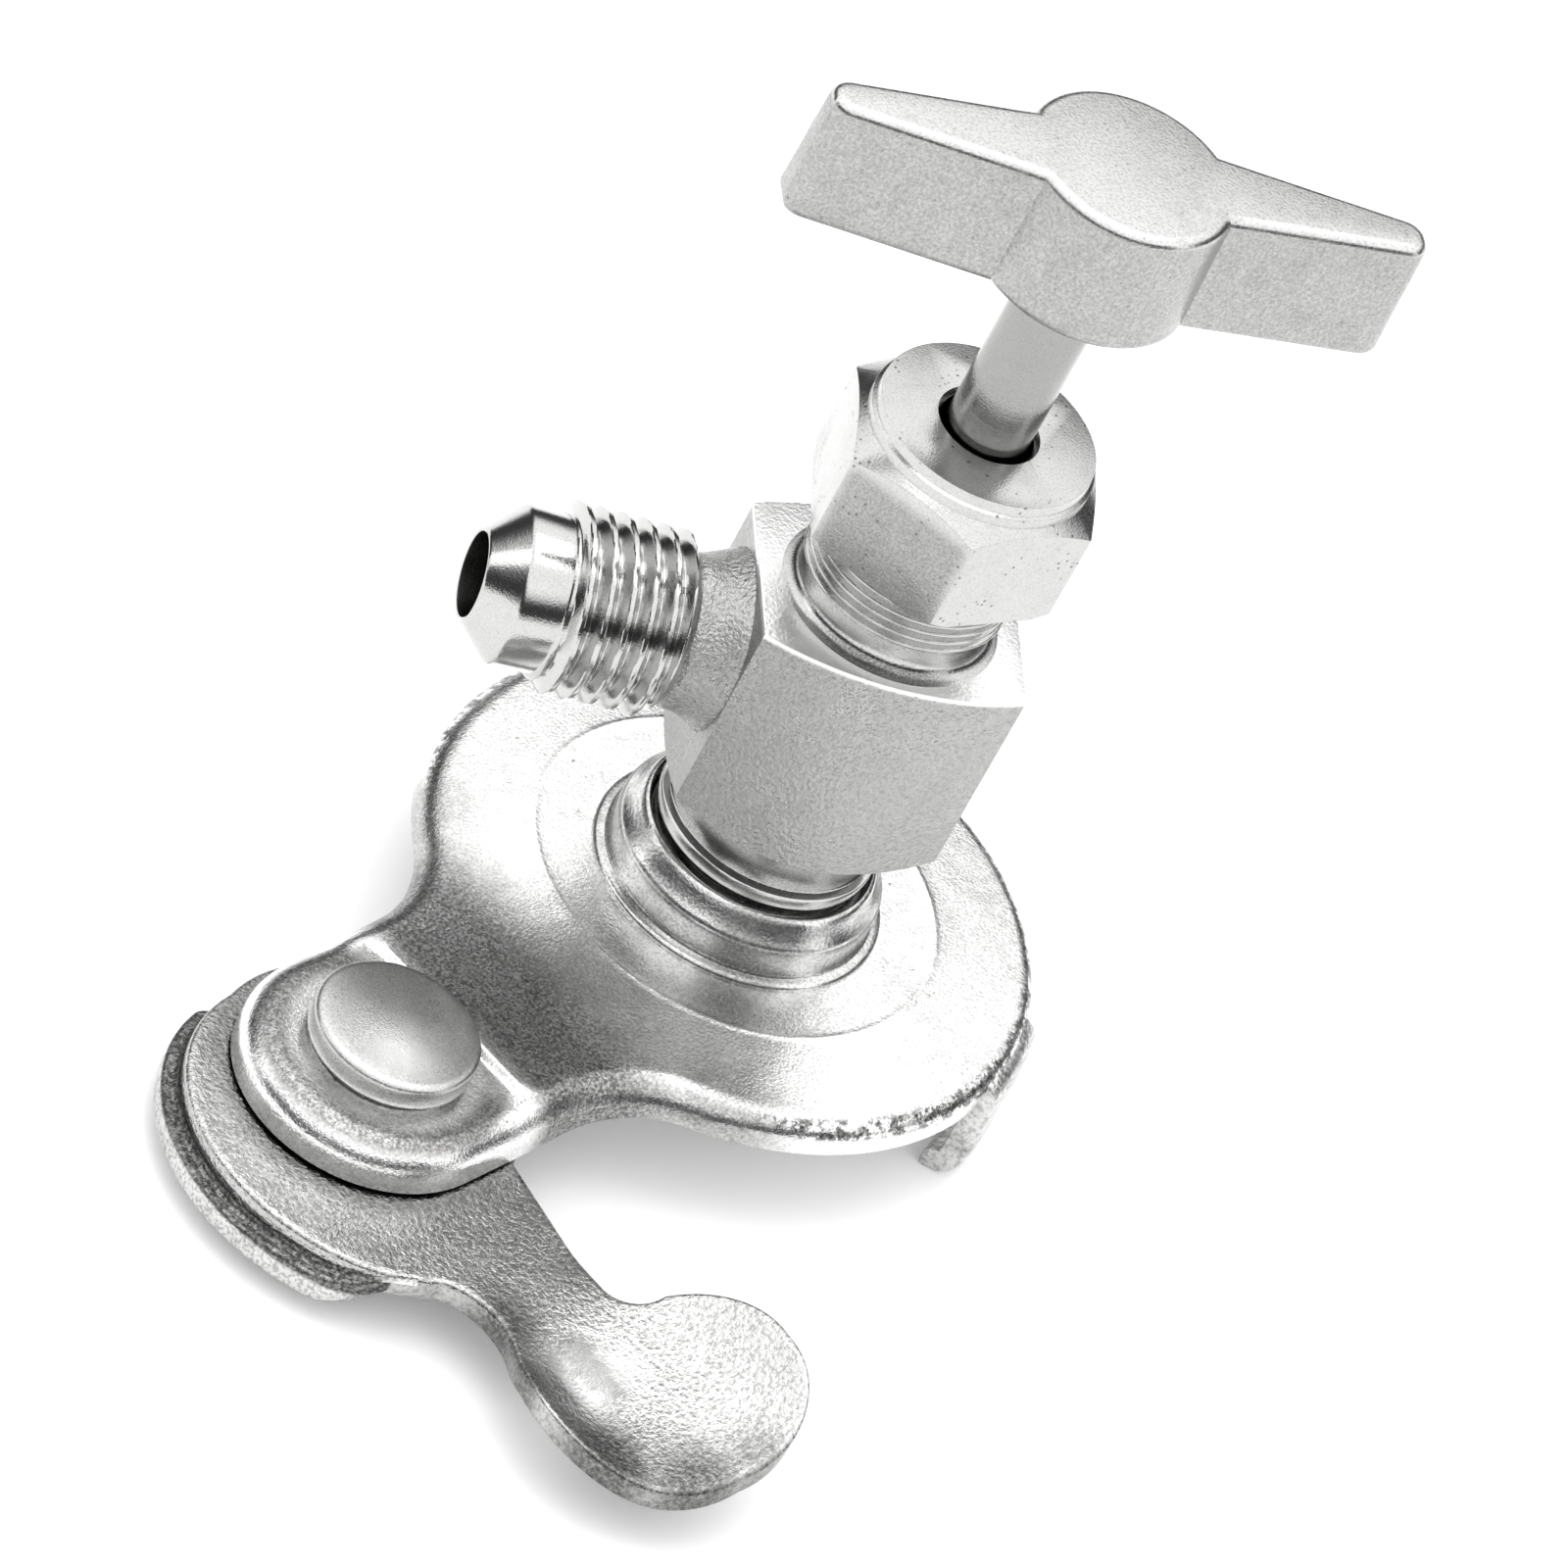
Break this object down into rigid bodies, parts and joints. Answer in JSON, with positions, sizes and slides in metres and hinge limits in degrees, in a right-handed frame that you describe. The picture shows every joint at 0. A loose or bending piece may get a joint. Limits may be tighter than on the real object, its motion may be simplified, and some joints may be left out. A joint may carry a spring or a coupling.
{
  "type": "can-piercing tap valve",
  "caption": "Can-piercing tap valve: hooked clamp plate with a cam lever on a rivet, screwed-in valve body with a flare outlet, gland nut and wing handle.",
  "frame": {"origin": "on the valve axis, in the sealing face of the can gasket", "axes": "+Z along the valve axis towards the wing handle, -X along the clamp arm towards the pivot rivet"},
  "size_m": [0.0619, 0.0519, 0.0657],
  "materials": {
    "plated_plate": "bright nickel plating, mottled, worn and lightly rusted along the rim",
    "plated_bush": "turned, bright nickel plated",
    "plated_rivet": "bright nickel plated",
    "spring_steel": "plain spring steel",
    "plated_washer": "zinc plated",
    "plated_lever": "nickel plated, grainy",
    "plated_body": "nickel plated forging, grainy sides, turned necks",
    "plated_nut": "nickel plated with small pits",
    "brass_washer": "turned brass",
    "packing": "white packing polymer",
    "plated_spindle": "turned and polished, nickel plated",
    "steel_needle": "hardened steel, ground point",
    "seal_polymer": "smooth sealing polymer",
    "plated_handle": "nickel plated casting, faint pits, bright edges",
    "gasket_rubber": "black rubber"
  },
  "bodies": {
    "clamp": {"clamp_plate": "plated_plate", "threaded_bush": "plated_bush", "pivot_rivet": "plated_rivet", "spring_washer": "spring_steel", "tail_washer": "plated_washer"},
    "lever": {"cam_lever": "plated_lever"},
    "gasket": {"can_gasket": "gasket_rubber"},
    "valve": {"valve_body": "plated_body", "gland_nut": "plated_nut", "backing_washer": "brass_washer", "packing_ring_lower": "packing", "packing_ring_upper": "packing", "thrust_washer": "brass_washer"},
    "seal": {"seat_seal": "seal_polymer"},
    "stem": {"spindle": "plated_spindle", "piercing_needle": "steel_needle", "wing_handle": "plated_handle"}
  },
  "joints": [
    {"name": "lever_swing", "type": "hinge", "parent": "clamp", "child": "lever", "pos_m": [-0.0295, 0, 0.00045], "axis": [0, 0, 1], "range_deg": [-185, 15]},
    {"name": "body_travel", "type": "slide", "parent": "clamp", "child": "gasket", "axis": [0, 0, 1], "range_m": [-0.003, 0.001]},
    {"name": "body_turn", "type": "hinge", "parent": "gasket", "child": "valve", "pos_m": [0, 0, 0.005], "axis": [0, 0, 1], "range_deg": [-1080.1, 360.1]},
    {"name": "stem_travel", "type": "slide", "parent": "valve", "child": "seal", "axis": [0, 0, 1], "range_m": [-0.005, 0]},
    {"name": "handle_turn", "type": "hinge", "parent": "seal", "child": "stem", "pos_m": [0, 0, 0.045], "axis": [0, 0, 1], "range_deg": [-1800.1, 0.1]}
  ],
  "couplings": [
    {"joint": "body_turn", "follows": "body_travel", "rad_per_m": 6283.2},
    {"joint": "handle_turn", "follows": "stem_travel", "rad_per_m": 6283.2}
  ]
}
